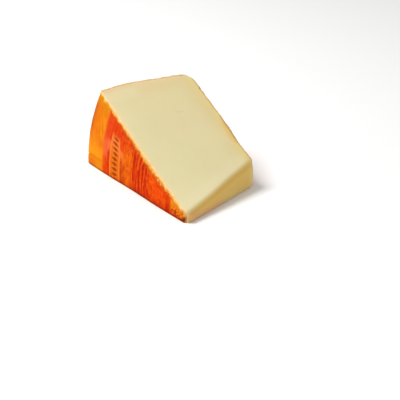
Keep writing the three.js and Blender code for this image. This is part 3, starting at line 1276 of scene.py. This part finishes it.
    def grime(self, worn, up):
        """Crimson blots, olive patches and crumbs on the worn middle."""
        look, coat, maker = self.look, self.coat, self.maker
        outer = self.ring.rise(8.0, 14.0) * 0.2 + 0.75
        coat.lay(worn * self.drops.rise(0.05, 0.12), look.print_deep, outer)
        patches = maker.noise(self.where.place, 2.9).rise(0.03, 0.13)
        coat.lay(worn * patches * up.rise(3.0, 5.0), look.rind_olive, 0.6)
        crumbs = maker.noise(self.where.place, 1.5) - up.rise(2.0, 9.0) * 0.09
        coat.lay(worn * crumbs.rise(0.0, 0.08), look.print_deep, 0.75)

    def rose_band(self):
        """A rose band just inside the outline, fainter at the foot and above."""
        start = self.sizes.panel_edge / MM
        band = (self.ring + self.hand * 0.8).rise(start + 0.8, start + 3.0)
        above = self.above + self.cloud * 12.0
        rosy = above.rise(4.0, 9.0) * (0.75 - above.rise(13.0, 21.0) * 0.6)
        self.coat.lay(band * rosy, self.look.print_rose)

    def panel(self):
        """A pale panel with light borders and a row of beads, narrower towards its upper end."""
        look = self.look
        taper = self.above.rise(9.0, 20.0) * 0.9
        ring = self.ring - taper
        from_middle = abs(ring - self.sizes.panel / MM) + taper
        turn = self.turn + self.hand * 0.06
        end = self.sizes.panel_end
        panel = from_middle.fall(4.4, 5.2) * turn.fall(end - 0.05, end)
        higher = self.above.rise(7.0, 15.0) * 0.6
        ground = self.maker.mix(higher, look.print_panel, look.print_border)
        self.coat.lay(panel, ground, 0.95 - abs(self.streak) * 1.2)
        self.borders(from_middle + self.hand * 0.9, turn, panel)
        self.beads(ring, panel)

    def borders(self, from_middle, turn, panel):
        """Light lines on the panel's edges, a paler patch beside its end and a dark line outside."""
        look, coat = self.look, self.coat
        coat.lay(from_middle.rise(3.2, 4.3) * panel, look.print_border, 0.8)
        blush = turn.rise(0.10, 0.17) * self.turn.fall(0.19, 0.23)
        blush = blush * from_middle.band((3.4, 4.6), (6.6, 8.4))
        coat.lay(blush, look.print_border, 0.6)
        outside = from_middle.band((4.9, 5.7), (6.2, 7.6)) * (1.0 - self.upper)
        coat.lay(outside * (1.0 - blush), look.print_deep, 0.45)

    def beads(self, ring, panel):
        """A row of long beads on the panel."""
        row = self.sizes.bead_row / MM
        gap = self.sizes.bead_gap / MM
        from_bead = abs((self.turn * (row / gap)).math("FRACT") - 0.5) * gap
        from_outline = from_bead + abs(ring - row) * 0.34 + self.hand
        self.coat.lay(from_outline.fall(0.7, 1.3) * panel, self.look.print_mark, 0.9)

    def bare_rim(self, rind_tint):
        """Bare rind shows outside the print."""
        where, outline = self.where, self.sizes.outline / MM
        from_rim = where.under_rind.at_least(where.across)
        inputs = {"Color": rind_tint, "Place": where.place, "From Rim": from_rim}
        rim_tint = self.maker.placed(self.groups.rim_colour, inputs)["Color"]
        self.coat.lay((self.ring + self.hand * 1.6).rise(outline, outline + 2.6), rim_tint)

    def shade_towards_rest(self):
        """Painted shade: the print is darker towards the rest."""
        outline = self.sizes.outline / MM
        printed = self.ring.fall(outline - 8.0, outline)
        streaked = self.ring.band((20.0, 26.0), (56.0, 62.0))
        low = (self.where.up + self.cloud * 6.0).fall(0.5, 5.5)
        self.coat.lay(low * printed, self.look.print_deep, streaked * 0.35 + 0.2)

    def foot(self):
        """Grease and crumbs gather along the rest under painted contact shadow, and the knife has
        scraped the nose clean.
        """
        where, look, coat, hand = self.where, self.look, self.coat, self.hand
        near_tip = where.along.fall(9.0, 17.0)
        short_of_tip = (where.before_tip + hand * 1.6).rise(1.3, 2.1)
        up = where.up + hand * 1.4 - near_tip * 2.4
        coat.lay(up.fall(1.4, 3.2) * near_tip * short_of_tip, look.print_gold)
        # Painted contact shadow along the rest, with grease
        coat.lay(up.fall(0.3, 2.3) * short_of_tip, look.print_dark, near_tip * 0.25 + 0.75)
        # The paste at the nose takes the pinker colour of the painted bounce light low on the paste
        scraped = (where.before_tip + hand * 1.2).fall(1.8, 3.3) * where.up.fall(5.0, 8.0)
        coat.lay(scraped, look.paste_skin, 0.85)

    def finished(self):
        """Lays every layer and gives the material."""
        where = self.where
        rind = self.maker.placed(self.groups.rind_colour, {"Place": where.place})
        self.quieten()
        self.streaks()
        self.smears()
        self.spots()
        self.worn_middle()
        self.rose_band()
        self.panel()
        self.bare_rim(rind["Color"])
        knife_edge = {"Place": where.place, "Under Cuts": where.under_cuts}
        self.coat.pass_through(self.groups.knife_edge, knife_edge)
        self.shade_towards_rest()
        self.foot()
        paint = self.streak * 0.10 + self.hair * 0.05
        height = Field(self.maker, rind["Height"]) + paint
        finish_rind(self.maker, self.shader, self.coat.tint, rind, height)
        return self.material


# The operators


def named_values(group):
    """Each value of a property group, under the name that the panel shows."""
    return {rna.name: getattr(group, rna.identifier) for rna in own_properties(group)}


def plain_mesh(context, tree, values):
    """The plain mesh that a Geometry Nodes tree makes of its values."""
    base = bpy.data.objects.new(PIECE + "_base", bpy.data.meshes.new(PIECE + "_base"))
    context.collection.objects.link(base)
    modifier = base.modifiers.new("Wheel Wedge", "NODES")
    modifier.node_group = tree
    for item in tree.interface.items_tree:
        if item.in_out == "INPUT" and item.name in values:
            modifier[item.identifier] = values[item.name]
    base.update_tag()
    evaluated = base.evaluated_get(context.evaluated_depsgraph_get())
    mesh = bpy.data.meshes.new_from_object(evaluated)
    bpy.data.objects.remove(base)
    if len(mesh.polygons) == 0:
        raise RuntimeError("the wedge came out empty")
    return mesh


class CHEESE_OT_wedge(bpy.types.Operator):
    """Makes the wedge with its paste, rind and print, in place of the plain solid"""

    bl_idname = "cheese.wedge"
    bl_label = "Make Wedge"

    def execute(self, context):
        scene = context.scene
        look, sizes = scene.cheese_look, scene.wedge_sizes
        groups = SharedGroups(look, sizes)
        materials = {
            "Paste Material": CutPaste(look, sizes, groups).finished(),
            "Rind Material": rind_material(look, groups),
            "Print Material": PrintedFace(look, scene.print_sizes, groups).finished(),
        }
        values = named_values(sizes) | named_values(scene.wedge_mesh) | materials
        mesh = plain_mesh(context, WedgeTree(values).tree, values)
        mesh.name = PIECE
        piece = bpy.data.objects.new(PIECE, mesh)
        context.collection.objects.link(piece)
        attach(piece, BODY)
        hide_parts(NODE)
        return {"FINISHED"}


def direction(azimuth, elevation):
    """Direction from the wedge to a lamp or camera. Azimuth 0 is in front of the printed face."""
    level = math.cos(elevation)
    return Vector((math.sin(azimuth) * level, -math.cos(azimuth) * level, math.sin(elevation)))


def face_back(context, data, away, place, roll=0.0):
    """Puts a lamp or camera at its place, looking back against the direction away."""
    made = bpy.data.objects.new(data.name, data)
    made.location = place
    made.rotation_mode = "QUATERNION"
    made.rotation_quaternion = (-away).to_track_quat("-Z", "Y") @ Quaternion((0, 0, 1), roll)
    context.collection.objects.link(made)
    return made


class CHEESE_OT_stage(bpy.types.Operator):
    """Makes the floor, the lights, the studio's white and the camera"""

    bl_idname = "cheese.stage"
    bl_label = "Make Stage"

    def execute(self, context):
        stage = context.scene.cheese_stage
        self.make_floor(context, stage)
        key = {"azimuth": -40, "elevation": 58, "distance": 0.9, "width": 0.42}
        fill = {"azimuth": 88, "elevation": 30, "distance": 1.1, "width": 0.7}
        self.make_light(context, "key light", stage.key_power, **key)
        self.make_light(context, "fill light", stage.fill_power, **fill)
        self.make_world(context, stage)
        self.make_camera(context, stage)
        context.scene.view_settings.view_transform = "Standard"
        return {"FINISHED"}

    def make_floor(self, context, stage):
        """A pale square floor that the wedge stands on."""
        reach = stage.floor_reach
        mesh = bpy.data.meshes.new("floor")
        corners = [(-reach, -reach, 0), (reach, -reach, 0), (reach, reach, 0), (-reach, reach, 0)]
        mesh.from_pydata(corners, [], [(0, 1, 2, 3)])
        floor = bpy.data.objects.new("floor", mesh)
        context.collection.objects.link(floor)
        material, _, shader = new_material("pale floor")
        shader.inputs["Base Color"].default_value = (*stage.floor, 1.0)
        shader.inputs["Roughness"].default_value = 0.7
        mesh.materials.append(material)

    def make_light(self, context, name, power, azimuth, elevation, distance, width):
        """A square soft light that faces the wedge. Its angles are in degrees."""
        light = bpy.data.lights.new(name, "AREA")
        light.shape = "SQUARE"
        light.size = width
        light.energy = power
        away = direction(math.radians(azimuth), math.radians(elevation))
        face_back(context, light, away, away * distance)

    def make_world(self, context, stage):
        """Even light from a white studio."""
        world = bpy.data.worlds.new("white studio")
        world.use_nodes = True
        sky = world.node_tree.nodes["Background"]
        sky.inputs["Color"].default_value = (1.0, 1.0, 1.0, 1.0)
        sky.inputs["Strength"].default_value = stage.sky
        context.scene.world = world

    def make_camera(self, context, stage):
        """The camera that sees the wedge as the photo does."""
        data = bpy.data.cameras.new("camera")
        data.lens = stage.lens
        away = direction(stage.azimuth, stage.elevation)
        place = Vector(stage.aim) + away * stage.distance
        context.scene.camera = face_back(context, data, away, place, stage.roll)


class CHEESE_PT_panel(bpy.types.Panel):
    """Lists the operators, and the sizes and colours that they use"""

    bl_idname = "CHEESE_PT_panel"
    bl_label = "Cheese Wedge"
    bl_space_type = "VIEW_3D"
    bl_region_type = "UI"
    bl_category = "Cheese"

    def draw(self, context):
        for operator in (CHEESE_OT_wedge, CHEESE_OT_stage):
            self.layout.operator(operator.bl_idname)
        for name in SCENE_SETTINGS:
            group = getattr(context.scene, name)
            box = self.layout.box()
            for rna in own_properties(group):
                box.prop(group, rna.identifier)


CLASSES = (*SCENE_SETTINGS.values(), CHEESE_OT_wedge, CHEESE_OT_stage, CHEESE_PT_panel)


def register():
    """Registers the classes and gives every scene its settings."""
    for cls in CLASSES:
        bpy.utils.register_class(cls)
    for name, group in SCENE_SETTINGS.items():
        setattr(bpy.types.Scene, name, bpy.props.PointerProperty(type=group))


def unregister():
    """Takes back what register has done."""
    for name in SCENE_SETTINGS:
        delattr(bpy.types.Scene, name)
    for cls in reversed(CLASSES):
        bpy.utils.unregister_class(cls)


def main():
    register()
    bpy.ops.cheese.stage()
    bpy.ops.cheese.wedge()


if __name__ == "__main__":
    main()
